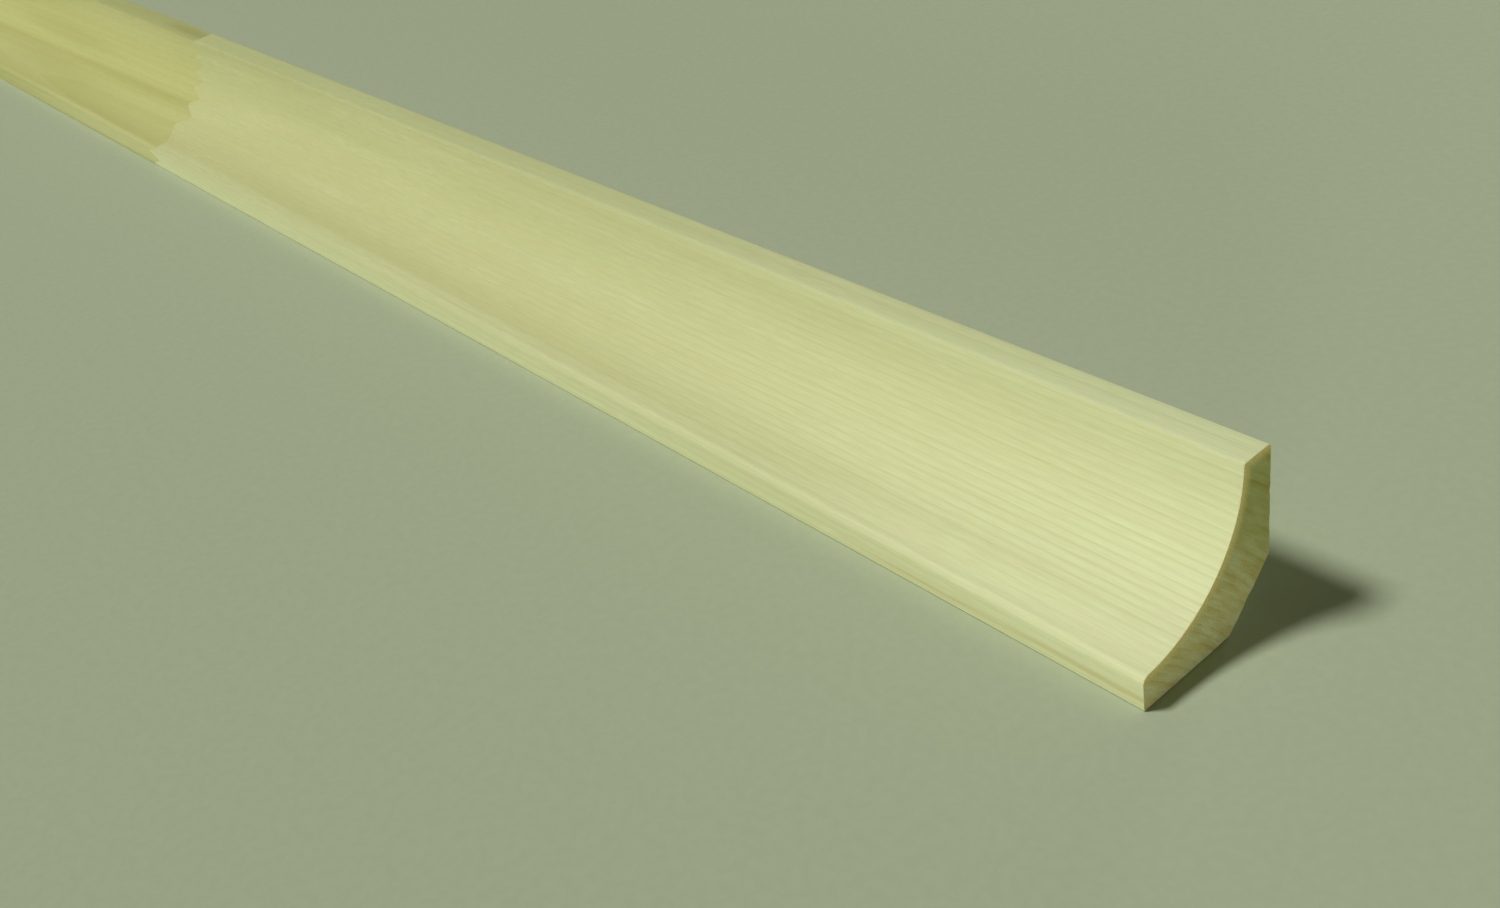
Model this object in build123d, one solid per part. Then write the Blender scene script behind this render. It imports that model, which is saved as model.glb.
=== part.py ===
"""A straight length of pine cove moulding for the corner between a floor and a wall.

Millimetres, +Z up. The stick lies along X, its hollow looks towards -Y, and the wall would stand at +Y.
"""

from build123d import *
import os

# Driving dimensions
STICK_LENGTH = 2400.0
COVE_RADIUS = 22.0
TOE_HEIGHT = 6.0
LEDGE_WIDTH = 6.0
HEEL_CHAMFER = 9.0
TOE_ARRIS = 1.2
LEDGE_ARRIS = 0.5
WALL_ARRIS = 0.8

# The cove is a quarter circle between the toe and the ledge, so the two legs of the section follow from it.
SECTION_DEPTH = COVE_RADIUS + LEDGE_WIDTH
SECTION_HEIGHT = COVE_RADIUS + TOE_HEIGHT
FRONT = -SECTION_DEPTH / 2
BACK = SECTION_DEPTH / 2


def corner(section: Sketch, y: float, z: float) -> Vertex:
    """The corner of the section nearest to a point."""
    return section.vertices().sort_by_distance((y, z))[0]


def moulding_section() -> Sketch:
    """The section seen from the end: X runs from the front to the wall, Y runs up from the floor."""
    blank = Rectangle(SECTION_DEPTH, SECTION_HEIGHT, align=(Align.CENTER, Align.MIN))
    hollow = Pos(FRONT, SECTION_HEIGHT) * Circle(COVE_RADIUS)
    section = blank - hollow
    section = chamfer(corner(section, BACK, 0), HEEL_CHAMFER)
    section = fillet(corner(section, FRONT, TOE_HEIGHT), TOE_ARRIS)
    section = fillet(corner(section, BACK - LEDGE_WIDTH, SECTION_HEIGHT), LEDGE_ARRIS)
    return fillet(corner(section, BACK, SECTION_HEIGHT), WALL_ARRIS)


def floor_moulding() -> Part:
    """The section run out to both sawn ends from the middle of the stick."""
    stick = extrude(Plane.YZ * moulding_section(), amount=STICK_LENGTH / 2, both=True)
    stick.label = "floor_moulding"
    return stick


os.makedirs("parts", exist_ok=True)
export_step(floor_moulding(), "parts/floor_moulding.step")
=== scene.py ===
"""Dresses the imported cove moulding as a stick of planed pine, glued up end to end from finger-jointed blocks.

Metres, +Z up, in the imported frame: the stick lies along X, its hollow looks towards -Y, the wall is at +Y.
"""

import logging
import math
from dataclasses import dataclass
from enum import Enum
from typing import Sequence, Union

import bpy
import numpy as np
from mathutils import Matrix, Vector


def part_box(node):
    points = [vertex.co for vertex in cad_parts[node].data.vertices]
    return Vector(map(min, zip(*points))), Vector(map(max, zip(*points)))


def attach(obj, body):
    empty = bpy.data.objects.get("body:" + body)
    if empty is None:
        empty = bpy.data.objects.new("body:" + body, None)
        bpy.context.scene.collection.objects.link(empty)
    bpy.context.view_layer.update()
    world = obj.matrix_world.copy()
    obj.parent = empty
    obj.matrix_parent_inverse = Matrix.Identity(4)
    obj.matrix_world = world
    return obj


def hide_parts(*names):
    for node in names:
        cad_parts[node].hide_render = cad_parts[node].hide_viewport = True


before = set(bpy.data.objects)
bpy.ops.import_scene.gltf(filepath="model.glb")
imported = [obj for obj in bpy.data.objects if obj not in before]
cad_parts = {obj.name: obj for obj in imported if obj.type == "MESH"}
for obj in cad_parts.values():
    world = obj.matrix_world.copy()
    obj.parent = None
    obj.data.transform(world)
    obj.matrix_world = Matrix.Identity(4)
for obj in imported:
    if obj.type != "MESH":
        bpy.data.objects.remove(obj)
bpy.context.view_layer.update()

MM = 0.001
ACROSS_STICK = (0.0, 1.0, 1.0)
NODE = "floor_moulding"
BODY = "root"
LOG = logging.getLogger("moulding")

Colour = tuple[float, float, float, float]
Shade = tuple[float, float, float]
Range = tuple[float, float]
Feed = Union[bpy.types.NodeSocket, float, Sequence[float]]


def paint(red: int, green: int, blue: int) -> Colour:
    """Turns a colour as seen on a screen into the linear one that a shader takes.

    Each channel c of 255 becomes ((c + 0.055) / 1.055) to the power 2.4, or c / 12.92 near black.

    Args:
        red, green, blue: the channels, 0 to 255.

    Returns:
        The linear colour with full opacity.
    """
    seen = np.array([red, green, blue]) / 255.0
    linear = np.where(seen <= 0.04045, seen / 12.92, ((seen + 0.055) / 1.055) ** 2.4)
    return (*linear.tolist(), 1.0)


def tint(colour: Colour, by: Sequence[float]) -> Colour:
    """Multiplies each channel of a linear colour with a number."""
    return (*(np.array(colour[:3]) * np.array(by)).tolist(), 1.0)


def straight(start: Sequence[float], end: Sequence[float], steps: int) -> np.ndarray:
    """Points on a straight run: start + t (end - start), with t from 0 up to but not at 1.

    Args:
        start, end: the two ends of the run.
        steps: how many points.

    Returns:
        An array of steps points.
    """
    t = np.arange(steps)[:, None] / steps
    return np.asarray(start) + t * (np.asarray(end) - np.asarray(start))


def turn(centre: Sequence[float], radius: float, first: float, last: float, steps: int) -> np.ndarray:
    """Points round an arc: centre + radius (cos a, sin a), with a from first up to but not at last.

    Args:
        centre: the middle of the arc.
        radius: its radius.
        first, last: the angles in degrees, up from the Y axis.
        steps: how many points.

    Returns:
        An array of steps points.
    """
    angle = np.radians(first + (last - first) * np.arange(steps) / steps)
    return np.asarray(centre) + radius * np.stack([np.cos(angle), np.sin(angle)], axis=1)


@dataclass(frozen=True)
class CoveSection:
    """The section that the cutters leave, seen along the stick with Y towards the wall and Z up.

    A quarter-round hollow stands between an upright toe and a level ledge. The heel is cut off at 45 degrees.
    """

    front: float
    back: float
    floor: float
    top: float
    cove_radius: float = 22 * MM
    toe_arris: float = 1.2 * MM
    ledge_arris: float = 0.5 * MM
    wall_arris: float = 0.8 * MM
    heel: float = 9 * MM
    broken_edge: float = 0.3 * MM
    edge_steps: int = 4
    lip_steps: int = 10
    arris_steps: int = 8
    cove_steps: int = 72
    face_steps: int = 36
    heel_steps: int = 28

    @property
    def cove_centre(self) -> tuple[float, float]:
        """The middle of the hollow's circle, over the toe and level with the ledge."""
        return self.front, self.top

    @property
    def steps(self) -> int:
        """The steps along the front path, as many as along the back path."""
        return 2 * (self.edge_steps + self.lip_steps + self.arris_steps) + self.cove_steps

    def arris(self, radius: float) -> tuple[float, float]:
        """Fits a round of radius a between a flat lip and the hollow of radius R.

        It touches the lip from inside and the hollow from outside, so its centre is R + a from the hollow's.

        Args:
            radius: the round's radius.

        Returns:
            The centre's distance from the hollow's along the lip's normal, and the angle between the two.
        """
        across = self.cove_radius + radius
        return math.sqrt(across**2 - radius**2), math.degrees(math.asin(radius / across))

    def rounds(self) -> tuple[tuple[float, float, float], tuple[float, float, float]]:
        """The rounds on the toe and on the ledge.

        Returns:
            The centre's Y and Z and the radius of each.
        """
        toe = (self.front + self.toe_arris, self.top - self.arris(self.toe_arris)[0], self.toe_arris)
        ledge = (self.front + self.arris(self.ledge_arris)[0], self.top - self.ledge_arris, self.ledge_arris)
        return toe, ledge

    def front_path(self) -> np.ndarray:
        """The path from the front floor edge over toe, hollow and ledge to the top wall edge.

        Returns:
            The points, from the middle of the lower edge round to the middle of the upper one.
        """
        edge, wall = self.broken_edge, self.wall_arris
        toe_lean, ledge_lean = self.arris(self.toe_arris)[1], self.arris(self.ledge_arris)[1]
        toe_round, ledge_round = (centre[:2] for centre in self.rounds())
        wall_round = (self.back - wall, self.top - wall)
        last = np.asarray(wall_round) + wall * math.sqrt(0.5)
        return np.vstack([
            turn((self.front + edge, self.floor + edge), edge, 225, 180, self.edge_steps),
            straight((self.front, self.floor + edge), (self.front, toe_round[1]), self.lip_steps),
            turn(toe_round, self.toe_arris, 180, 90 + toe_lean, self.arris_steps),
            turn(self.cove_centre, self.cove_radius, -90 + toe_lean, -ledge_lean, self.cove_steps),
            turn(ledge_round, self.ledge_arris, 180 - ledge_lean, 90, self.arris_steps),
            straight((ledge_round[0], self.top), (wall_round[0], self.top), self.lip_steps),
            turn(wall_round, wall, 90, 45, self.edge_steps),
            last[None],
        ])

    def back_path(self) -> np.ndarray:
        """The path from the front floor edge along floor, heel and wall to the top wall edge.

        A round of radius e in a corner that turns by 45 degrees starts e tan(22.5 degrees) before the corner.

        Returns:
            As many points as the front path, from the same first point to the same last one.
        """
        edge, wall = self.broken_edge, self.wall_arris
        run_in = edge * math.tan(math.radians(22.5))
        slant = edge * math.sqrt(0.5)
        front_round = (self.front + edge, self.floor + edge)
        low_round = (self.back - self.heel - run_in, self.floor + edge)
        high_round = (self.back - edge, self.floor + self.heel + run_in)
        wall_round = (self.back - wall, self.top - wall)
        heel_low = (low_round[0] + slant, low_round[1] - slant)
        heel_high = (high_round[0] + slant, high_round[1] - slant)
        last = np.asarray(wall_round) + wall * math.sqrt(0.5)
        return np.vstack([
            turn(front_round, edge, 225, 270, self.edge_steps),
            straight((front_round[0], self.floor), (low_round[0], self.floor), self.face_steps),
            turn(low_round, edge, 270, 315, self.edge_steps),
            straight(heel_low, heel_high, self.heel_steps),
            turn(high_round, edge, 315, 360, self.edge_steps),
            straight((self.back, high_round[1]), (self.back, wall_round[1]), self.face_steps),
            turn(wall_round, wall, 0, 45, self.edge_steps),
            last[None],
        ])


class EndKind(Enum):
    """How a block ends."""

    SAWN = "sawn square across the grain"
    FINGERED = "cut into fingers and glued into the next block"


@dataclass(frozen=True)
class BlockEnd:
    """One end of a block: its place along the stick, the way it looks (+1 or -1 along X) and its cut.

    A chip runs along the stick by chip_run times its depth, and draws the outline in by at most drawn_most of
    the way across the section. The saw's waver and swell are the depth and the rate of slower waves in its
    marks, which fade out towards the rim of the end.
    """

    x: float
    looks: int
    kind: EndKind
    seed: int
    finger_length: float = 5 * MM
    finger_pitch: float = 3.8 * MM
    finger_flat: float = 0.22
    finger_shift: float = 0.4
    glue_line: float = 0.015 * MM
    chip_front: float = 0.10 * MM
    chip_back: float = 0.28 * MM
    chip_least: float = 0.3
    chip_swing: float = 1.6
    chip_run: float = 2.2
    drawn_most: float = 0.3
    least_width: float = 1e-9
    saw_pitch: float = 2.3 * MM
    saw_depth: float = 0.03 * MM
    saw_waver: tuple[float, float] = (1.4, 1.7)
    saw_swell: tuple[float, float] = (0.4, 0.9)
    swell_height: float = 3.1 * MM
    rim_fade: float = 12.0
    arbor: tuple[float, float] = (70 * MM, -110 * MM)

    def fingers(self, height: np.ndarray) -> np.ndarray:
        """How far the end stands from its middle: a triangle wave over the height with cut-off tips.

        A sawn end is flat.

        Args:
            height: heights over the floor.

        Returns:
            The offsets along X.
        """
        if self.kind is EndKind.SAWN:
            return np.zeros_like(height)
        phase = np.mod(height / self.finger_pitch + self.finger_shift, 1.0)
        wave = np.abs(2.0 * phase - 1.0) - 0.5
        return self.finger_length * np.clip(wave / (1.0 - self.finger_flat), -0.5, 0.5)

    def chips(self, count: int) -> np.ndarray:
        """How deep the edge is broken all round: a hairline at a glued joint, chips at a sawn end.

        The chips are smoothed random numbers, cubed so that most of the edge stays crisp.

        Args:
            count: points round the section, the front path first.

        Returns:
            The depths, larger on the back half where the blade left the wood.
        """
        if self.kind is EndKind.FINGERED:
            return np.full(count, self.glue_line)
        draws = np.random.default_rng(self.seed).random(count)
        spread = (np.roll(draws, 1) + 2.0 * draws + np.roll(draws, -1)) / 4.0
        most = np.where(np.arange(count) < count // 2, self.chip_front, self.chip_back)
        return most * (self.chip_least + self.chip_swing * spread**3)

    def saw_marks(self, place: np.ndarray) -> np.ndarray:
        """Depth of the saw's marks: ripples on circles round the arbor, with a slower swell over them.

        Args:
            place: points of the end in the section's plane.

        Returns:
            Depths below the end's plane, none above it.
        """
        waver, waver_rate = self.saw_waver
        fade, fade_rate = self.saw_swell
        ring = np.hypot(place[..., 0] - self.arbor[0], place[..., 1] - self.arbor[1]) / self.saw_pitch
        ripple = 0.5 - 0.5 * np.cos(2.0 * np.pi * ring + waver * np.sin(ring * waver_rate))
        swell = (1.0 - fade) + fade * np.sin(ring * fade_rate + place[..., 1] / self.swell_height)
        return self.saw_depth * ripple * swell

    def rows(self, loop: np.ndarray, inward: np.ndarray) -> list[np.ndarray]:
        """The skin's last rows before this end: where the broken edge starts, and the end's outline.

        The outline is drawn in across the section by the depth of the broken edge.

        Args:
            loop: the section's points, all round.
            inward: for each of them the step across the section, into the wood.

        Returns:
            The two rows of points in space, from the inside out.
        """
        chip = self.chips(len(loop))
        reach = np.linalg.norm(inward, axis=1)
        drawn_in = np.minimum(chip, self.drawn_most * reach) / np.maximum(reach, self.least_width)
        x = self.x + self.fingers(loop[:, 1])
        start = np.column_stack([x - self.looks * self.chip_run * chip, loop])
        outline = np.column_stack([x, loop + inward * drawn_in[:, None]])
        return [start, outline]

    def face_x(self, place: np.ndarray, across: np.ndarray) -> np.ndarray:
        """Where the end's face lies along X: on the fingers, or below the sawn plane by the saw's marks.

        Args:
            place: points of the face in the section's plane.
            across: their places between the front path, 0, and the back path, 1.

        Returns:
            The X of each point.
        """
        if self.kind is EndKind.FINGERED:
            return self.x + self.fingers(place[..., 1])
        fade = np.clip(self.rim_fade * across * (1.0 - across), 0.0, 1.0)
        return self.x - self.looks * fade * self.saw_marks(place)


class Wiring:
    """Adds nodes to one shader tree and joins them.

    The mix sockets are those of a Mix node between colours: the amount, the two colours, and the result.
    """

    node_step = 180.0
    mix_inputs = (0, 6, 7)
    mix_result = 2

    def __init__(self, tree: bpy.types.NodeTree) -> None:
        """Starts on a shader tree."""
        self.tree = tree

    def add(self, kind: str, **settings: object) -> bpy.types.Node:
        """Adds a node to the right of the last one.

        Args:
            kind: Blender's name for the node.
            settings: its properties.

        Returns:
            The node.
        """
        node = self.tree.nodes.new(kind)
        node.location = (self.node_step * len(self.tree.nodes), 0.0)
        for key, value in settings.items():
            setattr(node, key, value)
        return node

    def plug(self, socket: bpy.types.NodeSocket, feed: Feed) -> None:
        """Links a socket to another one, or sets it to a number, vector or colour.

        Args:
            socket: the socket that is fed.
            feed: what it gets.
        """
        if isinstance(feed, bpy.types.NodeSocket):
            self.tree.links.new(feed, socket)
        else:
            socket.default_value = feed

    def maths(self, operation: str, *feeds: Feed) -> bpy.types.NodeSocket:
        """Works out one number.

        Args:
            operation: Blender's name for it.
            feeds: the numbers that go in.

        Returns:
            The result's socket.
        """
        node = self.add("ShaderNodeMath", operation=operation)
        for socket, feed in zip(node.inputs, feeds):
            self.plug(socket, feed)
        return node.outputs[0]

    def vector(self, operation: str, *feeds: Feed) -> bpy.types.NodeSocket:
        """Works out one vector, or the number that a length or a dot product is.

        Args:
            operation: Blender's name for it.
            feeds: the vectors that go in.

        Returns:
            The result's socket.
        """
        node = self.add("ShaderNodeVectorMath", operation=operation)
        for socket, feed in zip(node.inputs, feeds):
            self.plug(socket, feed)
        return node.outputs["Value" if operation in ("LENGTH", "DOT_PRODUCT") else "Vector"]

    def blend(self, amount: Feed, first: Feed, second: Feed, mode: str = "MIX") -> bpy.types.NodeSocket:
        """Mixes two colours.

        Args:
            amount: how much of the second one.
            first, second: the colours.
            mode: Blender's name for the way they mix.

        Returns:
            The mixed colour's socket.
        """
        node = self.add("ShaderNodeMix", data_type="RGBA", blend_type=mode)
        for index, feed in zip(self.mix_inputs, (amount, first, second)):
            self.plug(node.inputs[index], feed)
        return node.outputs[self.mix_result]

    def ramp(self, value: Feed, low: float, high: float) -> bpy.types.NodeSocket:
        """Takes a number from a range to 0 to 1 in a straight line and holds it at the ends.

        Args:
            value: the number.
            low, high: the range that it comes from.

        Returns:
            The result's socket.
        """
        node = self.add("ShaderNodeMapRange")
        for socket, feed in zip(node.inputs, (value, low, high)):
            self.plug(socket, feed)
        return node.outputs[0]

    def span(
        self, value: Feed, low: float, high: float, at_low: float = 0.0, at_high: float = 1.0,
    ) -> bpy.types.NodeSocket:
        """Eases a number from one range into another and holds it at the ends.

        Args:
            value: the number.
            low, high: the range that it comes from.
            at_low, at_high: what those become.

        Returns:
            The result's socket.
        """
        node = self.add("ShaderNodeMapRange", interpolation_type="SMOOTHSTEP")
        for socket, feed in zip(node.inputs, (value, low, high, at_low, at_high)):
            self.plug(socket, feed)
        return node.outputs[0]

    def noise(
        self, place: Feed, seed: Feed, lumps: tuple[float, float, float], detail: float = 2.0,
    ) -> bpy.types.NodeSocket:
        """Smooth noise from 0 to 1.

        Args:
            place: where it is read.
            seed: which noise.
            lumps: how many lumps to a unit of place, along each axis.
            detail: how many finer layers.

        Returns:
            The noise's socket.
        """
        node = self.add("ShaderNodeTexNoise", noise_dimensions="4D")
        self.plug(node.inputs["Vector"], self.vector("MULTIPLY", place, lumps))
        self.plug(node.inputs["W"], seed)
        node.inputs["Scale"].default_value = 1.0
        node.inputs["Detail"].default_value = detail
        return node.outputs[0]

    def place_mm(self) -> bpy.types.NodeSocket:
        """The point on the piece in millimetres, from its Object coordinates."""
        coordinates = self.add("ShaderNodeTexCoord")
        return self.vector("MULTIPLY", coordinates.outputs["Object"], (1.0 / MM,) * 3)

    def axis(self, place: Feed, index: int) -> bpy.types.NodeSocket:
        """One of a vector's three numbers.

        Args:
            place: the vector.
            index: 0, 1 or 2 for X, Y or Z.

        Returns:
            The number's socket.
        """
        node = self.add("ShaderNodeSeparateXYZ")
        self.plug(node.inputs[0], place)
        return node.outputs[index]

    def group(self, tree: bpy.types.NodeTree, **feeds: Feed) -> bpy.types.Node:
        """Places a node group.

        Args:
            tree: the group.
            feeds: its inputs by name, with _ for a space.

        Returns:
            The group's node.
        """
        node = self.add("ShaderNodeGroup", node_tree=tree)
        for name, feed in feeds.items():
            self.plug(node.inputs[name.replace("_", " ")], feed)
        return node


def new_material(name: str, gloss: float) -> tuple[Wiring, bpy.types.Node, bpy.types.Material]:
    """Makes a material with its shader.

    Args:
        name: the material's name.
        gloss: how strongly it mirrors.

    Returns:
        Its wiring, its shader and the material.
    """
    material = bpy.data.materials.new(name)
    material.use_nodes = True
    shader = material.node_tree.nodes["Principled BSDF"]
    shader.inputs["Specular IOR Level"].default_value = gloss
    return Wiring(material.node_tree), shader, material


class WoodEffect:
    """A shader node group with named inputs and outputs, made the first time that a finish asks for it."""

    title = ""
    inputs: dict[str, str] = {}
    outputs: tuple[str, ...] = ()

    def tree(self) -> bpy.types.NodeTree:
        """Finds the group, or makes its sockets and has wire() fill it.

        Returns:
            The group's tree.
        """
        found = bpy.data.node_groups.get(self.title)
        if found:
            return found
        tree = bpy.data.node_groups.new(self.title, "ShaderNodeTree")
        for name, kind in self.inputs.items():
            tree.interface.new_socket(name=name, in_out="INPUT", socket_type=kind)
        for name in self.outputs:
            tree.interface.new_socket(name=name, in_out="OUTPUT", socket_type="NodeSocketFloat")
        wiring = Wiring(tree)
        entry = wiring.add("NodeGroupInput").outputs
        results = self.wire(wiring, entry)
        leave = wiring.add("NodeGroupOutput").inputs
        for name, result in zip(self.outputs, results):
            wiring.plug(leave[name], result)
        return tree

    def wire(self, wiring: Wiring, entry: bpy.types.NodeOutputs) -> tuple[bpy.types.NodeSocket, ...]:
        """Fills the group.

        Args:
            wiring: the group's tree.
            entry: its inputs.

        Returns:
            What goes to the outputs, in their order.
        """
        raise NotImplementedError


class GrowthRings(WoodEffect):
    """Annual rings as tubes round the log's pith, which leans a little against the stick.

    The ring number is the distance from the pith over the ring width, with a slow waver along the grain and
    an uneven spacing. Inside a ring the wood darkens slowly to the latewood and stops sharply at its end.
    """

    title = "growth rings"
    inputs = {
        "Place": "NodeSocketVector",
        "Pith": "NodeSocketVector",
        "Lean": "NodeSocketVector",
        "Ring Width": "NodeSocketFloat",
        "Waver": "NodeSocketFloat",
        "Seed": "NodeSocketFloat",
    }
    outputs = ("Latewood", "Ring Tone", "Band", "Reach")
    waver_lumps = (0.014, 0.06, 0.06)
    uneven_lumps = (0.55, 0.0, 0.0)
    uneven_share = 0.35
    late_rise = (0.40, 0.90)
    late_stop = (0.92, 1.0)
    late_power = 1.4
    band_lumps = (0.24, 0.0, 0.0)
    band_seed = 7.0

    def wire(self, wiring: Wiring, entry: bpy.types.NodeOutputs) -> tuple[bpy.types.NodeSocket, ...]:
        """Fills the group, as WoodEffect.wire says."""
        place, seed = entry["Place"], entry["Seed"]
        from_pith = wiring.vector("SUBTRACT", place, entry["Pith"])
        drift = wiring.vector("SCALE", entry["Lean"])
        wiring.plug(drift.node.inputs["Scale"], wiring.axis(from_pith, 0))
        across = wiring.vector("MULTIPLY", wiring.vector("SUBTRACT", from_pith, drift), ACROSS_STICK)
        distance = wiring.vector("LENGTH", across)
        slow = wiring.noise(place, seed, self.waver_lumps)
        waver = wiring.maths("MULTIPLY", wiring.maths("SUBTRACT", slow, 0.5), entry["Waver"])
        reach = wiring.maths("ADD", distance, waver)
        number = wiring.maths("DIVIDE", reach, entry["Ring Width"])
        flat = wiring.add("ShaderNodeCombineXYZ")
        wiring.plug(flat.inputs[0], number)
        uneven = wiring.noise(flat.outputs[0], seed, self.uneven_lumps, 0.0)
        shifted = wiring.maths("ADD", number, wiring.maths("MULTIPLY", uneven, self.uneven_share))
        within = wiring.maths("FRACT", shifted)
        rise = wiring.span(within, *self.late_rise)
        stop = wiring.span(within, *self.late_stop, 1.0, 0.0)
        latewood = wiring.maths("MULTIPLY", wiring.maths("POWER", rise, self.late_power), stop)
        dice = wiring.add("ShaderNodeTexWhiteNoise", noise_dimensions="2D")
        pair = wiring.add("ShaderNodeCombineXYZ")
        wiring.plug(pair.inputs[0], wiring.maths("FLOOR", shifted))
        wiring.plug(pair.inputs[1], seed)
        wiring.plug(dice.inputs["Vector"], pair.outputs[0])
        slow_seed = wiring.maths("ADD", seed, self.band_seed)
        band = wiring.noise(flat.outputs[0], slow_seed, self.band_lumps, 1.0)
        return latewood, dice.outputs["Value"], band, reach


class LongFibres(WoodEffect):
    """Streaks along the grain: long soft ones a millimetre wide, short flecks, and fibres finer than both."""

    title = "long fibres"
    inputs = {"Place": "NodeSocketVector", "Seed": "NodeSocketFloat"}
    outputs = ("Streak", "Fleck", "Fibre")
    lumps = ((0.012, 0.9, 0.9), (0.22, 2.4, 2.4), (0.14, 6.5, 6.5))
    details = (3.0, 2.0, 2.0)

    def wire(self, wiring: Wiring, entry: bpy.types.NodeOutputs) -> tuple[bpy.types.NodeSocket, ...]:
        """Fills the group, as WoodEffect.wire says."""
        layers = zip(self.lumps, self.details)
        return tuple(wiring.noise(entry["Place"], entry["Seed"], lumps, detail) for lumps, detail in layers)


class PlanerMarks(WoodEffect):
    """What the moulder's cutters leave: a patchy cross ripple of even pitch, and pale burnished patches."""

    title = "planer marks"
    inputs = {"Place": "NodeSocketVector", "Pitch": "NodeSocketFloat", "Seed": "NodeSocketFloat"}
    outputs = ("Ripple", "Bloom")
    patch_lumps = (0.06, 0.12, 0.12)
    patch_rise = (0.38, 0.66)
    bloom_seed = 3.0
    bloom_lumps = (0.018, 0.2, 0.2)
    bloom_detail = 1.5
    bloom_rise = (0.45, 0.72)

    def wire(self, wiring: Wiring, entry: bpy.types.NodeOutputs) -> tuple[bpy.types.NodeSocket, ...]:
        """Fills the group, as WoodEffect.wire says."""
        place, seed = entry["Place"], entry["Seed"]
        knife = wiring.maths("DIVIDE", wiring.axis(place, 0), entry["Pitch"])
        wave = wiring.maths("SINE", wiring.maths("MULTIPLY", knife, 2.0 * math.pi))
        patch = wiring.noise(place, seed, self.patch_lumps)
        ripple = wiring.maths("MULTIPLY", wave, wiring.span(patch, *self.patch_rise))
        other_seed = wiring.maths("ADD", seed, self.bloom_seed)
        bloom = wiring.noise(place, other_seed, self.bloom_lumps, self.bloom_detail)
        return ripple, wiring.span(bloom, *self.bloom_rise)


class EndPores(WoodEffect):
    """Cut ends of the fibres on a sawn face: a fine speckle, and torn patches drawn out along the rings."""

    title = "end pores"
    inputs = {
        "Place": "NodeSocketVector",
        "Reach": "NodeSocketFloat",
        "Along Ring": "NodeSocketFloat",
        "Seed": "NodeSocketFloat",
    }
    outputs = ("Speckle", "Torn")
    speckle_lumps = (3.0, 3.6, 3.6)
    torn_lumps = (0.75, 0.15, 0.0)
    torn_detail = 3.0

    def wire(self, wiring: Wiring, entry: bpy.types.NodeOutputs) -> tuple[bpy.types.NodeSocket, ...]:
        """Fills the group, as WoodEffect.wire says."""
        speckle = wiring.noise(entry["Place"], entry["Seed"], self.speckle_lumps)
        turned = wiring.add("ShaderNodeCombineXYZ")
        wiring.plug(turned.inputs[0], entry["Reach"])
        wiring.plug(turned.inputs[1], entry["Along Ring"])
        torn = wiring.noise(turned.outputs[0], entry["Seed"], self.torn_lumps, self.torn_detail)
        return speckle, torn


@dataclass(frozen=True)
class LogPlace:
    """Where a block lay in its log, in degrees up from Y and millimetres.

    The pith lies at a bearing and a distance from the middle of the section. It drifts across the stick by
    the lean for each millimetre of length. Beyond the sapwood's distance from the pith the wood can be paler.
    """

    bearing: float
    distance: float
    lean: tuple[float, float, float]
    sapwood: float


class Sawing(Enum):
    """How a block was sawn from its log."""

    RIFT = LogPlace(228.7, 84.0, (0.0, 0.0006, -0.0004), 70.2)
    FLAT = LogPlace(262.0, 31.0, (0.0, 0.003, 0.014), 30.0)
    QUARTER = LogPlace(40.0, 60.0, (0.0, -0.002, 0.004), 48.0)


@dataclass(frozen=True)
class LensPatch:
    """A lens-shaped patch of the wood: middle, half length along the grain and half width, in millimetres."""

    middle: tuple[float, float, float]
    half_length: float
    half_width: float
    most: float = 0.7
    core: float = 0.2

    def mask(self, wiring: Wiring, place: bpy.types.NodeSocket) -> bpy.types.NodeSocket:
        """How much of it shows: most in the core and none from the rim on.

        The distance from the middle is counted in half lengths and half widths.

        Args:
            wiring: the material's tree.
            place: the point in millimetres.

        Returns:
            The mask's socket.
        """
        scale = (1.0 / self.half_length, 1.0 / self.half_width, 1.0 / self.half_width)
        off = wiring.vector("MULTIPLY", wiring.vector("SUBTRACT", place, self.middle), scale)
        return wiring.span(wiring.vector("LENGTH", off), self.core, 1.0, self.most, 0.0)


@dataclass(frozen=True)
class SoakedRing:
    """A ring of the log soaked with resin: its distance from the pith and half width, in millimetres."""

    distance: float
    most: float
    half_width: float = 1.4
    core: float = 0.1

    def mask(self, wiring: Wiring, reach: bpy.types.NodeSocket) -> bpy.types.NodeSocket:
        """How much resin shows: most in the middle of the ring and none from its rim on.

        Args:
            wiring: the material's tree.
            reach: the point's distance from the pith in millimetres.

        Returns:
            The mask's socket.
        """
        off = wiring.maths("ABSOLUTE", wiring.maths("SUBTRACT", reach, self.distance))
        return wiring.span(off, self.core, self.half_width, self.most, 0.0)


@dataclass(frozen=True)
class ArrisShade:
    """Painted shade over an arris's highlight: the share at a block's far end and at its near one, and its
    reach.

    The reach goes from the middle line of the arris, in millimetres.
    """

    far: float
    near: float
    reach: float


@dataclass(frozen=True)
class TimberColours:
    """The colours of a block: pale and ripe ground, latewood, amber bands and resin lines."""

    pale: Colour
    ripe: Colour
    late: Colour
    amber: Colour
    resin: Colour


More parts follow.
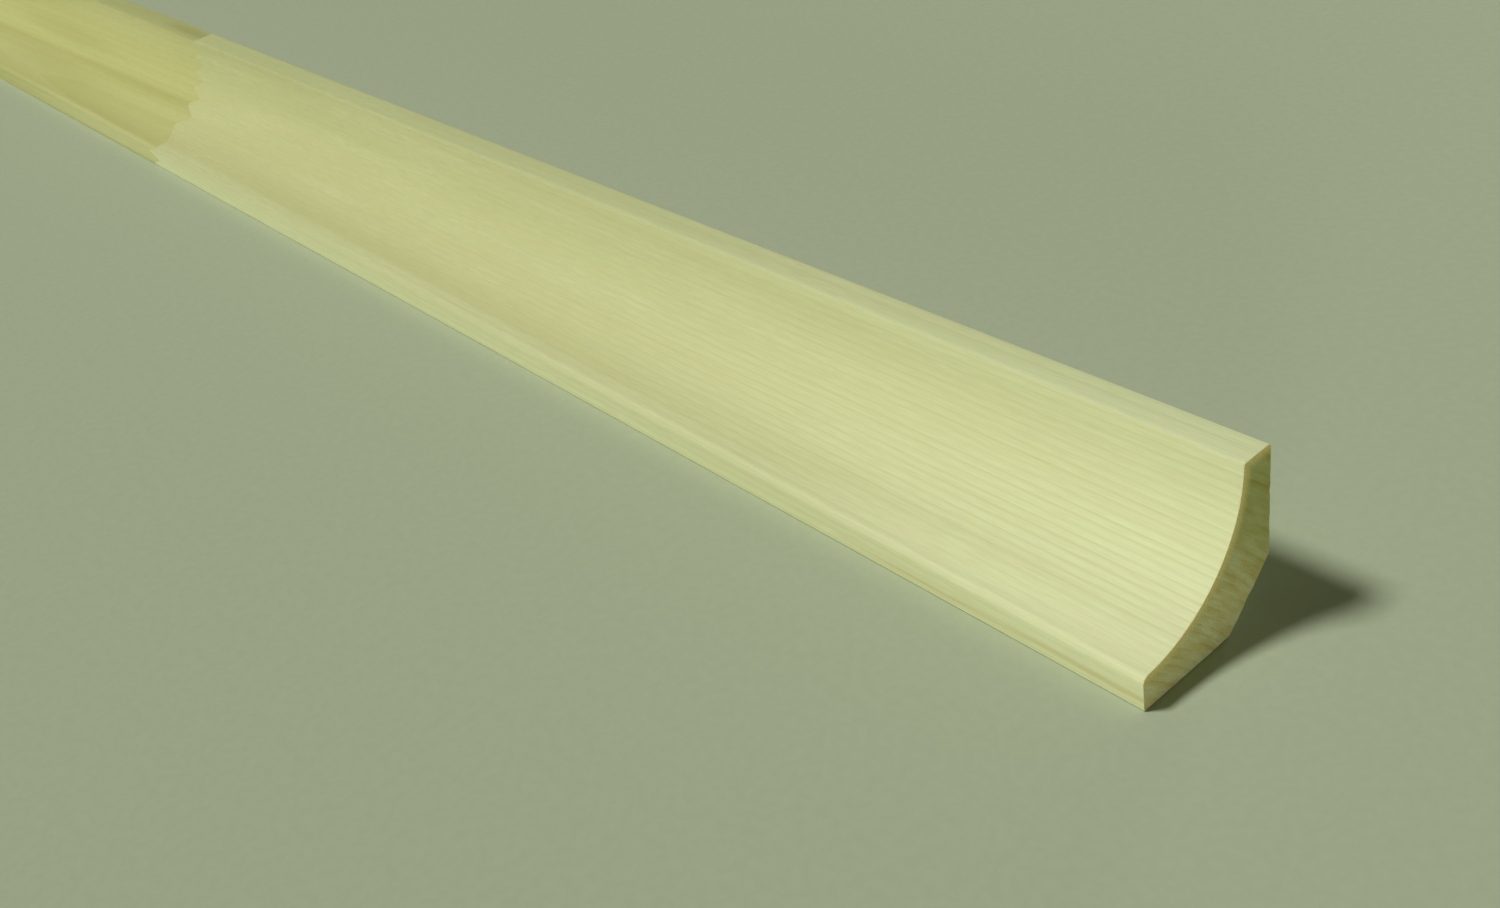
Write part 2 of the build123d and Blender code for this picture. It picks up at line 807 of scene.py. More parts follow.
class Tone(Enum):
    """The timbers in the stick."""

    PALE = TimberColours(
        pale=paint(226, 230, 182),
        ripe=paint(194, 196, 140),
        late=paint(180, 183, 108),
        amber=paint(206, 200, 136),
        resin=paint(184, 174, 106),
    )
    STRAW = TimberColours(
        pale=paint(211, 212, 158),
        ripe=paint(197, 197, 136),
        late=paint(180, 176, 104),
        amber=paint(196, 186, 118),
        resin=paint(176, 156, 88),
    )
    HONEY = TimberColours(
        pale=paint(198, 200, 142),
        ripe=paint(189, 190, 122),
        late=paint(168, 167, 84),
        amber=paint(184, 178, 104),
        resin=paint(156, 146, 74),
    )


@dataclass(frozen=True)
class BlockPlan:
    """What is known of a block before it has its place in the stick. Ring sizes are in millimetres.

    The pale share goes from the block's far end to its near one, and core_pale is the share in the heartwood.
    The two lines are the strength of the ring lines in the sapwood and at the far end, against 1 elsewhere.
    The ledge's colour is multiplied with its tone, painted light and shade that lightens it above 1 and darkens
    it below.
    """

    length: float
    tone: Tone
    sawing: Sawing
    ring_width: float
    waver: float
    contrast: float
    amber_share: float
    pale_share: tuple[float, float]
    core_pale: float = 0.4
    sapwood_lines: float = 1.0
    far_lines: float = 1.0
    # Painted light and shade on the ledge's top face, as a factor on its colour.
    ledge_painted_lighting: float = 1.0
    soaked: tuple[SoakedRing, ...] = ()
    pockets: tuple[LensPatch, ...] = ()
    # Paler patches: in part the wood's own tone, in part painted light.
    pale_and_lit_patches: tuple[LensPatch, ...] = ()


@dataclass(frozen=True)
class PineFinish:
    """Planed, unfinished pine: one block's plan and its place. Lengths are in millimetres.

    The span is the X of the block's far end and of its near one, and the hollow is the middle of its circle.
    A rise or a fall is the range of noise over which an effect comes or goes, a shade multiplies a colour's
    channels, and a lift is a share of the relief, whose depths are in metres.
    """

    plan: BlockPlan
    seed: float
    middle: tuple[float, float, float]
    span: Range
    hollow: tuple[float, float, float]
    hollow_radius: float
    arrises: tuple[tuple[float, float, float], ...]
    pale_curve: float = 2.6
    planer_pitch: float = 1.7
    sapwood_blur: float = 2.0
    # Painted shade on the toe's arris and the ledge's, which dims the highlight of their rounds.
    toe_arris_shade: ArrisShade = ArrisShade(0.95, 0.24, 1.4)
    ledge_arris_shade: ArrisShade = ArrisShade(0.66, 0.80, 0.45)
    # How far down from the top the ledge's painted light and shade reaches, in millimetres.
    ledge_depth: float = 0.4
    gloss: float = 0.22
    weakest_ring: float = 0.62
    amber_rise: Range = (0.50, 0.72)
    # How much lighter the pale patches are than the pale ground, partly painted light.
    pale_and_lit_shade: Shade = (1.05, 1.05, 1.05)
    streak_rise: Range = (0.3, 0.6)
    streak_fall: Range = (0.7, 0.3)
    streak_lines: Range = (0.7, 1.0)
    streak_shade: Shade = (0.98, 0.978, 0.97)
    fleck_rise: Range = (0.34, 0.62)
    fleck_fall: Range = (0.62, 0.34)
    fleck_lines: Range = (0.4, 1.0)
    fleck_shade: Shade = (0.965, 0.96, 0.94)
    fibre_shade: Shade = (0.955, 0.95, 0.93)
    bloom_share: float = 0.16
    # Tint of the ledge's painted light and shade, before the block's own factor.
    ledge_painted_shade: Shade = (1.0, 1.03, 1.04)
    # Tint of the painted shade on the arrises.
    arris_painted_shade: Shade = (0.77, 0.765, 0.67)
    grain_rise: Range = (0.2, 0.8)
    face_roughness: Range = (0.55, 0.75)
    late_lift: float = 0.3
    ripple_lift: float = 0.5
    fibre_relief: float = 0.000012
    edge_width: float = 2.2
    end_contrast: float = 0.32
    end_line: Shade = (0.66, 0.56, 0.50)
    end_clean: Shade = (0.94, 0.92, 0.80)
    end_soiled: Shade = (1.02, 0.98, 0.85)
    # Tint of the painted shade on the ends, which darkens them away from the pith.
    end_painted_shade: Shade = (0.64, 0.70, 0.50)
    end_lit: Shade = (1.44, 1.32, 1.06)
    torn_rise: Range = (0.32, 0.68)
    torn_line_rise: Range = (0.40, 0.62)
    torn_lines: Range = (0.35, 1.0)
    # How far past the pith's distance that painted shade comes in, in millimetres.
    shade_reach: Range = (-3.0, 13.0)
    pore_fall: Range = (0.3, 0.7)
    pore_share: float = 0.3
    end_roughness: Range = (0.7, 0.9)
    end_late_lift: float = 0.5
    end_relief: float = 0.00006

    @property
    def colours(self) -> TimberColours:
        """The colours of the block's timber."""
        return self.plan.tone.value

    @property
    def log(self) -> LogPlace:
        """Where the block lay in its log."""
        return self.plan.sawing.value

    @property
    def sapwood_rim(self) -> tuple[float, float]:
        """The distances from the pith between which the heartwood changes to sapwood."""
        return self.log.sapwood - self.sapwood_blur, self.log.sapwood + self.sapwood_blur

    @property
    def pith(self) -> tuple[float, float, float]:
        """Where the pith lay: from the block's middle by the log's bearing and distance.

        Returns:
            The point in the block's middle plane.
        """
        angle = math.radians(self.log.bearing)
        across = self.middle[1] + self.log.distance * math.cos(angle)
        return self.middle[0], across, self.middle[2] + self.log.distance * math.sin(angle)

    def rings(self, wiring: Wiring, place: bpy.types.NodeSocket) -> bpy.types.Node:
        """Places the growth rings of this block."""
        return wiring.group(
            GrowthRings().tree(), Place=place, Pith=self.pith, Lean=self.log.lean,
            Ring_Width=self.plan.ring_width, Waver=self.plan.waver, Seed=self.seed,
        )

    def latewood(self, wiring: Wiring, rings: bpy.types.Node, strength: float) -> bpy.types.NodeSocket:
        """How much latewood shows: the rings' mask, stronger in some rings than in others.

        Args:
            wiring: the material's tree.
            rings: the growth rings in it.
            strength: the amount in the strongest ring.

        Returns:
            The mask's socket.
        """
        weakest = self.weakest_ring * strength
        share = wiring.span(rings.outputs["Ring Tone"], 0.0, 1.0, weakest, strength)
        return wiring.maths("MULTIPLY", rings.outputs["Latewood"], share)

    def shade(self, wiring: Wiring, base: Feed, mask: Feed, by: Shade) -> bpy.types.NodeSocket:
        """Shades a colour where a mask says so.

        Args:
            wiring: the material's tree.
            base: the colour.
            mask: how much, from 0 to 1.
            by: what each channel is multiplied with where the mask is 1.

        Returns:
            The new colour's socket.
        """
        return wiring.blend(mask, base, (*by, 1.0), "MULTIPLY")

    def relief(self, wiring: Wiring, shader: bpy.types.Node, height: Feed, depth: float) -> None:
        """Gives the shader a bump.

        Args:
            wiring: the material's tree.
            shader: the shader in it.
            height: the bump's height in units of depth.
            depth: that unit in metres.
        """
        bump = wiring.add("ShaderNodeBump")
        bump.inputs["Strength"].default_value = 1.0
        bump.inputs["Distance"].default_value = depth
        wiring.plug(bump.inputs["Height"], height)
        wiring.plug(shader.inputs["Normal"], bump.outputs["Normal"])

    def ground(self, wiring: Wiring, place: Feed, rings: bpy.types.Node) -> bpy.types.NodeSocket:
        """The colour between the lines: from ripe to pale along the block and in the log, with amber bands.

        Args:
            wiring: the material's tree.
            place: the point in millimetres.
            rings: the growth rings in it.

        Returns:
            The colour's socket.
        """
        colours, core = self.colours, self.plan.core_pale
        far, near = self.plan.pale_share
        # The first block's steep paling towards its near end is partly painted light falling off along the
        # stick.
        along = wiring.maths("POWER", wiring.ramp(wiring.axis(place, 0), *self.span), self.pale_curve)
        share = wiring.maths("MULTIPLY_ADD", along, near - far, far)
        sapwood = wiring.span(rings.outputs["Reach"], *self.sapwood_rim)
        change = wiring.maths("SUBTRACT", share, core)
        base = wiring.blend(wiring.maths("MULTIPLY_ADD", change, sapwood, core), colours.ripe, colours.pale)
        band = wiring.span(rings.outputs["Band"], *self.amber_rise, 0.0, self.plan.amber_share)
        return wiring.blend(band, base, colours.amber)

    def resin(self, wiring: Wiring, base: Feed, place: Feed, rings: bpy.types.Node) -> bpy.types.NodeSocket:
        """Lays the resin over a colour, as soaked rings and pitch pockets, and then the pale patches, partly
        painted light.

        Args:
            wiring: the material's tree.
            base: the colour.
            place: the point in millimetres.
            rings: the growth rings in it.

        Returns:
            The new colour's socket.
        """
        laid = base
        for ring in self.plan.soaked:
            laid = wiring.blend(ring.mask(wiring, rings.outputs["Reach"]), laid, self.colours.resin)
        for pocket in self.plan.pockets:
            laid = wiring.blend(pocket.mask(wiring, place), laid, self.colours.resin)
        for patch in self.plan.pale_and_lit_patches:
            laid = wiring.blend(patch.mask(wiring, place), laid, tint(self.colours.pale, self.pale_and_lit_shade))
        return laid

    def arris_shading(self, wiring: Wiring, place: Feed) -> bpy.types.NodeSocket:
        """How much painted shade dims the highlight on the toe's arris and the ledge's, most on the middle line
        of each.

        Args:
            wiring: the material's tree.
            place: the point in millimetres.

        Returns:
            The mask's socket.
        """
        most = 0.0
        x = wiring.axis(place, 0)
        for (across, up, radius), wear in zip(self.arrises, (self.toe_arris_shade, self.ledge_arris_shade)):
            slant = radius * math.sqrt(0.5)
            line = (0.0, across - slant, up + slant)
            off = wiring.vector("MULTIPLY", wiring.vector("SUBTRACT", place, line), ACROSS_STICK)
            close = wiring.span(wiring.vector("LENGTH", off), 0.0, wear.reach, 1.0, 0.0)
            darkened = wiring.maths("MULTIPLY", close, wiring.span(x, *self.span, wear.far, wear.near))
            most = wiring.maths("MAXIMUM", darkened, most)
        return most

    def face(self, name: str) -> bpy.types.Material:
        """The long faces: rings, resin, streaks, flecks, burnished patches, cross ripple, and painted light and
        shade.

        Args:
            name: the material's name.

        Returns:
            The material.
        """
        wiring, shader, material = new_material(name, self.gloss)
        place = wiring.place_mm()
        rings = self.rings(wiring, place)
        fibres = wiring.group(LongFibres().tree(), Place=place, Seed=self.seed)
        streak, fleck, fibre = (fibres.outputs[output] for output in LongFibres.outputs)
        planer = wiring.group(PlanerMarks().tree(), Place=place, Pitch=self.planer_pitch, Seed=self.seed)
        flecky = wiring.span(fleck, *self.fleck_rise, *self.fleck_lines)
        streaky = wiring.span(streak, *self.streak_rise, *self.streak_lines)
        broken = wiring.maths("MULTIPLY", flecky, streaky)
        faint = wiring.span(rings.outputs["Reach"], *self.sapwood_rim, 1.0, self.plan.sapwood_lines)
        fading = wiring.span(wiring.axis(place, 0), *self.span, self.plan.far_lines, 1.0)
        strength = wiring.maths("MULTIPLY", broken, wiring.maths("MULTIPLY", faint, fading))
        latewood = wiring.maths("MULTIPLY", self.latewood(wiring, rings, self.plan.contrast), strength)
        ringed = wiring.blend(latewood, self.ground(wiring, place, rings), self.colours.late)
        resined = self.resin(wiring, ringed, place, rings)
        burnished = wiring.maths("MULTIPLY", broken, self.bloom_share)
        bloom = wiring.maths("MULTIPLY", planer.outputs["Bloom"], burnished)
        top = self.hollow[2]
        # Painted light and shade on the ledge's top face, scaled by the block's factor.
        ledge_painted_shade = tuple(self.plan.ledge_painted_lighting * channel for channel in self.ledge_painted_shade)
        colour = wiring.blend(bloom, resined, self.colours.pale)
        # The last two masks paint light and shade on the ledge and the arrises; the first three are the grain's
        # own colour.
        for mask, by in (
            (wiring.span(streak, *self.streak_fall), self.streak_shade),
            (wiring.span(fleck, *self.fleck_fall), self.fleck_shade),
            (wiring.span(fibre, *self.fleck_fall), self.fibre_shade),
            (wiring.span(wiring.axis(place, 2), top - self.ledge_depth, top), ledge_painted_shade),
            (self.arris_shading(wiring, place), self.arris_painted_shade),
        ):
            colour = self.shade(wiring, colour, mask, by)
        wiring.plug(shader.inputs["Base Color"], colour)
        wiring.plug(shader.inputs["Roughness"], wiring.span(fibre, *self.grain_rise, *self.face_roughness))
        lifted = wiring.maths("MULTIPLY_ADD", latewood, self.late_lift, fibre)
        height = wiring.maths("MULTIPLY_ADD", planer.outputs["Ripple"], self.ripple_lift, lifted)
        self.relief(wiring, shader, height, self.fibre_relief)
        return material

    def lit_edge(self, wiring: Wiring, place: Feed) -> bpy.types.NodeSocket:
        """How much light gets into the end from the front: by a point's depth under the hollow or the ledge.

        Args:
            wiring: the material's tree.
            place: the point in millimetres.

        Returns:
            The mask's socket.
        """
        from_hollow = wiring.vector("SUBTRACT", place, self.hollow)
        reach = wiring.vector("LENGTH", wiring.vector("MULTIPLY", from_hollow, ACROSS_STICK))
        under_hollow = wiring.maths("SUBTRACT", reach, self.hollow_radius)
        under_ledge = wiring.maths("SUBTRACT", self.hollow[2], wiring.axis(place, 2))
        depth = wiring.maths("MINIMUM", under_hollow, under_ledge)
        return wiring.span(depth, 0.0, self.edge_width, 1.0, 0.0)

    def end_grain(self, name: str) -> bpy.types.Material:
        """The sawn ends: the same rings cut across, torn, speckled with pores, and warm where light gets in.

        Args:
            name: the material's name.

        Returns:
            The material.
        """
        wiring, shader, material = new_material(name, self.gloss)
        colours, bearing = self.colours, math.radians(self.log.bearing)
        place = wiring.place_mm()
        rings = self.rings(wiring, place)
        reach = rings.outputs["Reach"]
        along = wiring.vector("DOT_PRODUCT", place, (0.0, -math.sin(bearing), math.cos(bearing)))
        pores = wiring.group(EndPores().tree(), Place=place, Reach=reach, Along_Ring=along, Seed=self.seed)
        speckle, torn = (pores.outputs[output] for output in EndPores.outputs)
        line = tint(colours.late, self.end_line)
        clean, soiled = tint(colours.pale, self.end_clean), tint(colours.amber, self.end_soiled)
        ground = wiring.blend(wiring.span(torn, *self.torn_rise), clean, soiled)
        patchy = wiring.span(torn, *self.torn_line_rise, *self.torn_lines)
        latewood = wiring.maths("MULTIPLY", self.latewood(wiring, rings, self.end_contrast), patchy)
        ringed = wiring.blend(latewood, ground, line)
        # Painted shade: the end darkens away from the pith, towards the top and back of a rift-sawn end.
        outer = wiring.span(reach, *(self.log.distance + step for step in self.shade_reach))
        shaded_end = self.shade(wiring, ringed, outer, self.end_painted_shade)
        edged = wiring.blend(self.lit_edge(wiring, place), shaded_end, tint(colours.amber, self.end_lit))
        pored = wiring.span(speckle, *self.pore_fall, self.pore_share, 0.0)
        wiring.plug(shader.inputs["Base Color"], wiring.blend(pored, edged, line))
        wiring.plug(shader.inputs["Roughness"], wiring.span(speckle, *self.grain_rise, *self.end_roughness))
        height = wiring.maths("MULTIPLY_ADD", latewood, self.end_late_lift, speckle)
        self.relief(wiring, shader, height, self.end_relief)
        return material


@dataclass(frozen=True)
class PineBlock:
    """One block of the stick: its name, its two ends and its finish."""

    name: str
    low: BlockEnd
    high: BlockEnd
    finish: PineFinish
    section: CoveSection
    row_spacing: float = 8 * MM
    face_columns: int = 20

    def rows(self, loop: np.ndarray, inward: np.ndarray) -> np.ndarray:
        """The block's skin: the section carried along X in even rows between the rows of its two ends.

        Args:
            loop: the section's points, all round.
            inward: for each of them the step across the section, into the wood.

        Returns:
            Points by row and place round the section.
        """
        clear = self.low.finger_length
        first, last = self.low.x + clear, self.high.x - clear
        count = int(round((last - first) / self.row_spacing)) + 1
        even = [np.column_stack([np.full(len(loop), x), loop]) for x in np.linspace(first, last, count)]
        low = self.low.rows(loop, inward)[::-1]
        return np.stack([*low, *even, *self.high.rows(loop, inward)])

    def face(self, end: BlockEnd, front: np.ndarray, back: np.ndarray) -> np.ndarray:
        """The points inside an end's face, on straight lines from the front path to the back path.

        Their X is where the end's cut puts it.

        Args:
            end: the end.
            front, back: its outline, as two paths of equal length.

        Returns:
            Points by place along the paths and across, without the outline itself.
        """
        across = (np.arange(1, self.face_columns) / self.face_columns)[None, :, None]
        place = (1.0 - across) * front[1:-1, None] + across * back[1:-1, None]
        x = end.face_x(place, across[..., 0] + np.zeros(place.shape[:2]))
        return np.concatenate([x[..., None], place], axis=2)

    def face_index(self, row: int, first_inner: int) -> np.ndarray:
        """Numbers the points of an end's face: its outline from the skin's row, the rest in their own order.

        Args:
            row: the skin's first or last row.
            first_inner: number of the first point inside the face.

        Returns:
            Point numbers by place along the paths and across.
        """
        steps, columns = self.section.steps, self.face_columns
        place = np.arange(steps + 1)
        index = np.empty((steps + 1, columns + 1), dtype=int)
        index[:] = (row * 2 * steps + place)[:, None]
        index[:, -1] = row * 2 * steps + (2 * steps - place) % (2 * steps)
        inner = np.arange((steps - 1) * (columns - 1)).reshape(steps - 1, columns - 1)
        index[1:-1, 1:-1] = first_inner + inner
        return index

    def face_polygons(self, index: np.ndarray, looks: int) -> list[list[int]]:
        """The polygons of an end's face: quads, with a fan of triangles at each tip where the paths meet.

        Args:
            index: point numbers by place along the paths and across.
            looks: +1 for a face towards +X, -1 for one towards -X.

        Returns:
            The polygons, outwards.
        """
        inner = index[1:-1]
        corners = [inner[:-1, :-1], inner[:-1, 1:], inner[1:, 1:], inner[1:, :-1]]
        quads = np.stack(corners, axis=-1).reshape(-1, 4)
        tip = np.stack([index[0, :-1], index[1, 1:], index[1, :-1]], axis=-1)
        top = np.stack([index[-2, :-1], index[-2, 1:], index[-1, 1:]], axis=-1)
        return [polygon[::looks] for polygon in (*quads.tolist(), *tip.tolist(), *top.tolist())]

    def build(self) -> bpy.types.Object:
        """Makes the block's closed mesh: the skin and the two end faces.

        Returns:
            The block's object, at the origin.
        """
        front, back = self.section.front_path(), self.section.back_path()
        loop = np.vstack([front, back[-2:0:-1]])
        inward = np.vstack([back - front, (front - back)[-2:0:-1]])
        skin = self.rows(loop, inward)
        height, around = skin.shape[:2]
        number = np.arange(height * around).reshape(height, around)
        beside = np.roll(number, -1, axis=1)
        corners = [number[:-1], number[1:], beside[1:], beside[:-1]]
        sides = np.stack(corners, axis=-1).reshape(-1, 4).tolist()
        steps = self.section.steps
        points, faces = [skin.reshape(-1, 3)], []
        for end, row in ((self.low, 0), (self.high, height - 1)):
            outline = skin[row][:, 1:]
            outline_back = np.vstack([outline[:1], outline[:steps - 1:-1]])
            first_inner = sum(len(part) for part in points)
            points.append(self.face(end, outline[:steps + 1], outline_back).reshape(-1, 3))
            faces += self.face_polygons(self.face_index(row, first_inner), end.looks)
        mesh = bpy.data.meshes.new(self.name)
        mesh.from_pydata(np.vstack(points).tolist(), [], sides + faces)
        self.shade(mesh, len(sides), height, around)
        block = bpy.data.objects.new(self.name, mesh)
        bpy.context.scene.collection.objects.link(block)
        return block

    def shade(self, mesh: bpy.types.Mesh, side_count: int, height: int, around: int) -> None:
        """Shades the mesh smooth with sharp edges round each end, and gives the ends their own material slot.

        Args:
            mesh: the block's mesh.
            side_count: polygons of the skin, which come first.
            height: rows of the skin.
            around: points in a row.
        """
        count = len(mesh.polygons)
        mesh.polygons.foreach_set("use_smooth", np.ones(count, dtype=bool))
        mesh.polygons.foreach_set("material_index", (np.arange(count) >= side_count).astype(np.int32))
        ends = np.empty(len(mesh.edges) * 2, dtype=np.int32)
        mesh.edges.foreach_get("vertices", ends)
        row = np.where(ends < height * around, ends // around, -1).reshape(-1, 2)
        rim = (row[:, 0] == row[:, 1]) & np.isin(row[:, 0], (0, 1, height - 2, height - 1))
        sharp = mesh.attributes.new("sharp_edge", "BOOLEAN", "EDGE")
        sharp.data.foreach_set("value", rim)
        mesh.update()

    def dress(self, block: bpy.types.Object) -> None:
        """Gives the block its face and its end grain."""
        block.data.materials.append(self.finish.face(self.name + "_face"))
        block.data.materials.append(self.finish.end_grain(self.name + "_end_grain"))


@dataclass(frozen=True)
class MouldingStick:
    """The whole stick: blocks in order from the end at +X, glued end to end with fingers."""

    plans: tuple[BlockPlan, ...] = (
        # The first block's ledge factor above 1 is painted light on its top face.
        BlockPlan(
            334 * MM, Tone.PALE, Sawing.RIFT, ring_width=1.28, waver=0.5, contrast=0.35, amber_share=0.08,
            # Paler towards the near end: partly the wood's own tone, partly painted light falling off along the
            # stick.
            pale_share=(0.0, 0.80), core_pale=0.7, far_lines=0.4, ledge_painted_lighting=1.05,
            soaked=(SoakedRing(80.0, 0.06),),
            pockets=(LensPatch((1194, -14, 2.0), 34, 0.8, 0.62), LensPatch((1162, -14, 1.5), 26, 0.7, 0.45)),
            # Pale patches, partly painted light: the near end's lower hollow and a highlight along the ledge's
            # arris.
            pale_and_lit_patches=(
                LensPatch((1196, -11, 5.4), 90, 6, 0.75),
                LensPatch((1190, 8.2, 27.2), 230, 2.6, 0.36),
                LensPatch((1000, 8, 25), 150, 6, 0.12),
            ),
        ),
        # The second block's ledge factor below 1 is painted shade on its top face.
        BlockPlan(
            358 * MM, Tone.HONEY, Sawing.FLAT, ring_width=2.1, waver=1.2, contrast=0.35, amber_share=0.1,
            pale_share=(0.0, 0.26), core_pale=0.12, sapwood_lines=0.6, ledge_painted_lighting=0.9,
            soaked=(SoakedRing(26.2, 0.33, 2.2),),
            pockets=(
                LensPatch((857, 11, 28), 24, 2.4, 0.4),
                LensPatch((765, -4.5, 8.2), 70, 5.0, 0.22),
                LensPatch((765, 4.0, 15.2), 70, 4.5, 0.2),
            ),
            # Pale patches, partly painted light, on the toe and the upper hollow.
            pale_and_lit_patches=(LensPatch((848, -14, 3.2), 130, 4.0, 1.0), LensPatch((815, 8, 25), 90, 6.5, 0.45)),
        ),
        BlockPlan(
            306 * MM, Tone.STRAW, Sawing.QUARTER, ring_width=1.7, waver=0.8, contrast=0.5, amber_share=0.45,
            pale_share=(0.6, 0.4), soaked=(SoakedRing(52.0, 0.3),),
        ),
        BlockPlan(
            392 * MM, Tone.PALE, Sawing.FLAT, ring_width=2.5, waver=2.0, contrast=0.55, amber_share=0.45,
            pale_share=(0.3, 0.6), sapwood_lines=0.6, soaked=(SoakedRing(30.0, 0.3),),
            pockets=(LensPatch((30, -2, 9.7), 18, 0.8),),
        ),
        BlockPlan(
            336 * MM, Tone.STRAW, Sawing.RIFT, ring_width=1.5, waver=0.7, contrast=0.5, amber_share=0.45,
            pale_share=(0.5, 0.3), soaked=(SoakedRing(90.0, 0.3),),
        ),
        BlockPlan(
            374 * MM, Tone.HONEY, Sawing.QUARTER, ring_width=2.0, waver=1.2, contrast=0.55, amber_share=0.45,
            pale_share=(0.4, 0.7), soaked=(SoakedRing(61.0, 0.3),),
        ),
        BlockPlan(
            300 * MM, Tone.PALE, Sawing.RIFT, ring_width=1.6, waver=0.6, contrast=0.5, amber_share=0.45,
            pale_share=(0.8, 0.4), soaked=(SoakedRing(81.0, 0.3),),
        ),
    )
    first_seed: int = 11
    far_end_seed: int = 100

    def blocks(self) -> list[PineBlock]:
        """Places the blocks: each starts where the one before it ends.

        Returns:
            The blocks from +X to -X.
        """
        low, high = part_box(NODE)
        section = CoveSection(low.y, high.y, low.z, high.z)
        hollow = (0.0, section.cove_centre[0] / MM, section.cove_centre[1] / MM)
        arrises = tuple(tuple(size / MM for size in arris) for arris in section.rounds())
        lengths = np.array([plan.length for plan in self.plans])
        cuts = high.x - np.concatenate([[0.0], np.cumsum(lengths)]) * (high.x - low.x) / lengths.sum()
        made = []
        for number, plan in enumerate(self.plans):
            last = number == len(self.plans) - 1
            seed = self.first_seed + number
            near = BlockEnd(cuts[number], 1, EndKind.FINGERED if number else EndKind.SAWN, seed)
            far_kind = EndKind.SAWN if last else EndKind.FINGERED
            far = BlockEnd(cuts[number + 1], -1, far_kind, seed + self.far_end_seed)
            centre = [(far.x + near.x) / 2, (low.y + high.y) / 2, (low.z + high.z) / 2]
            middle = tuple((np.array(centre) / MM).tolist())
            span = (far.x / MM, near.x / MM)
            finish = PineFinish(
                plan, float(seed), middle, span, hollow, section.cove_radius / MM, arrises)
            made.append(PineBlock(f"pine_block_{number + 1}", far, near, finish, section))
        return made

    def build(self) -> None:
        """Builds and dresses every block, and hands each to the frame."""
        for plan in self.blocks():
            block = plan.build()
            plan.dress(block)
            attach(block, BODY)
            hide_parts(NODE)
            LOG.info("%s: %d polygons", block.name, len(block.data.polygons))


@dataclass(frozen=True)
class SoftLamp:
    """A far, soft lamp: the way to it, its strength and how wide it looks, in degrees."""

    name: str
    towards: tuple[float, float, float]
    strength: float
    width: float

    def hang(self) -> None:
        """Hangs the lamp so that its light comes from that way."""
        lamp = bpy.data.lights.new(self.name, "SUN")
        lamp.energy = self.strength
        lamp.angle = math.radians(self.width)
        hung = bpy.data.objects.new(self.name, lamp)
        hung.rotation_euler = Vector(self.towards).to_track_quat("Z", "Y").to_euler()
        bpy.context.scene.collection.objects.link(hung)


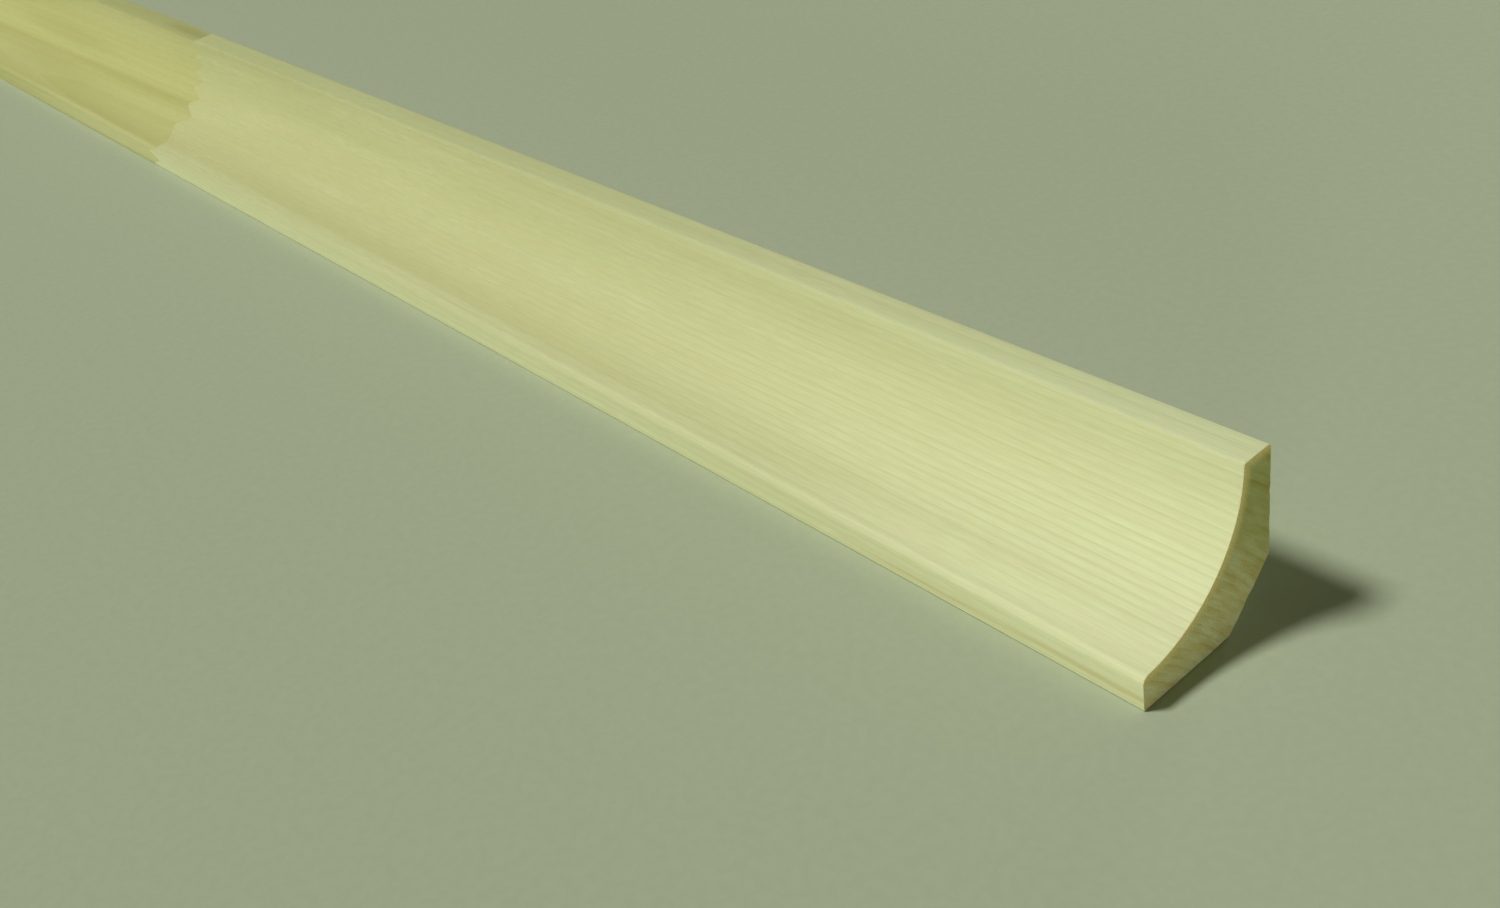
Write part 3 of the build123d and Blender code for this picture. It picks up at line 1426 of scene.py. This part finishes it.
@dataclass(frozen=True)
class Studio:
    """Floor, light and camera."""

    lamps: tuple[SoftLamp, ...] = (
        SoftLamp("key_lamp", (-0.40, -0.42, 1.0), 2.36, 12.0),
        SoftLamp("front_lamp", (0.5, -0.85, 0.04), 1.69, 20.0),
        SoftLamp("back_lamp", (-0.3, 0.95, 0.02), 1.4, 16.0),
    )
    sky_colour: Colour = (0.05, 0.05, 0.02, 1.0)
    floor_colour: Colour = paint(175, 185, 155)
    backdrop_colour: Colour = paint(157, 166, 139)
    floor_half: float = 8.0
    floor_drop: float = 0.00003
    floor_gloss: float = 0.2
    floor_roughness: float = 0.85
    pulp_seed: float = 1.0
    pulp_lumps: tuple[float, float, float] = (0.6, 0.6, 0.6)
    pulp_detail: float = 3.0
    pulp_rise: Range = (0.3, 0.7)
    pulp_shade: Shade = (0.96, 0.96, 0.96)
    camera_place: tuple[float, float, float] = (1.29972, -0.13589, 0.15753)
    camera_yaw: float = math.radians(-55.72)
    camera_pitch: float = math.radians(34.41)
    camera_roll: float = math.radians(11.83)
    focal_pixels: float = 1597.0
    frame_pixels: float = 1500.0
    sensor: float = 36.0
    nearest: float = 0.01

    def lay_floor(self) -> None:
        """Lays a plain pale floor just under the stick."""
        half, level = self.floor_half, -self.floor_drop
        corners = [(-half, -half, level), (half, -half, level), (half, half, level), (-half, half, level)]
        mesh = bpy.data.meshes.new("studio_floor")
        mesh.from_pydata(corners, [], [(0, 1, 2, 3)])
        floor = bpy.data.objects.new("studio_floor", mesh)
        bpy.context.scene.collection.objects.link(floor)
        wiring, shader, material = new_material("studio_floor", self.floor_gloss)
        shader.inputs["Roughness"].default_value = self.floor_roughness
        pulp = wiring.noise(wiring.place_mm(), self.pulp_seed, self.pulp_lumps, self.pulp_detail)
        shaded = tint(self.floor_colour, self.pulp_shade)
        colour = wiring.blend(wiring.span(pulp, *self.pulp_rise), shaded, self.floor_colour)
        wiring.plug(shader.inputs["Base Color"], colour)
        mesh.materials.append(material)

    def light_room(self) -> None:
        """Hangs the lamps and lights the room evenly from all sides.

        The camera and the reflections see the room in the colour of the lit floor.
        """
        for lamp in self.lamps:
            lamp.hang()
        world = bpy.data.worlds.new("studio")
        world.use_nodes = True
        wiring = Wiring(world.node_tree)
        background = world.node_tree.nodes["Background"]
        path = wiring.add("ShaderNodeLightPath")
        mirrored = wiring.maths("MAXIMUM", path.outputs["Is Glossy Ray"], path.outputs["Is Transmission Ray"])
        seen = wiring.maths("MAXIMUM", path.outputs["Is Camera Ray"], mirrored)
        wiring.plug(background.inputs["Color"], wiring.blend(seen, self.sky_colour, self.backdrop_colour))
        bpy.context.scene.world = world

    def set_camera(self) -> None:
        """Stands the camera where the photograph was taken from.

        The view is turned by the yaw from +Y, tipped down by the pitch, and the picture is rolled about it.
        """
        yaw, pitch, roll = self.camera_yaw, self.camera_pitch, self.camera_roll
        ahead = np.array([math.sin(yaw) * math.cos(pitch), math.cos(yaw) * math.cos(pitch), -math.sin(pitch)])
        right = np.array([math.cos(yaw), -math.sin(yaw), 0.0])
        down = np.cross(ahead, right)
        picture_right = math.cos(roll) * right + math.sin(roll) * down
        picture_down = math.cos(roll) * down - math.sin(roll) * right
        lens = bpy.data.cameras.new("photo_camera")
        lens.sensor_fit = "HORIZONTAL"
        lens.sensor_width = self.sensor
        lens.lens = self.focal_pixels / self.frame_pixels * self.sensor
        lens.clip_start = self.nearest
        camera = bpy.data.objects.new("photo_camera", lens)
        turned = np.column_stack([picture_right, -picture_down, -ahead])
        camera.matrix_world = Matrix.Translation(self.camera_place) @ Matrix(turned.tolist()).to_4x4()
        bpy.context.scene.collection.objects.link(camera)
        bpy.context.scene.camera = camera

    def build(self) -> None:
        """Sets up floor, light, camera and the plain colour view."""
        self.lay_floor()
        self.light_room()
        self.set_camera()
        bpy.context.scene.view_settings.view_transform = "Standard"


def main() -> None:
    """Builds the stick and its studio in order."""
    logging.basicConfig(level=logging.INFO)
    MouldingStick().build()
    Studio().build()


if __name__ == "__main__":
    main()
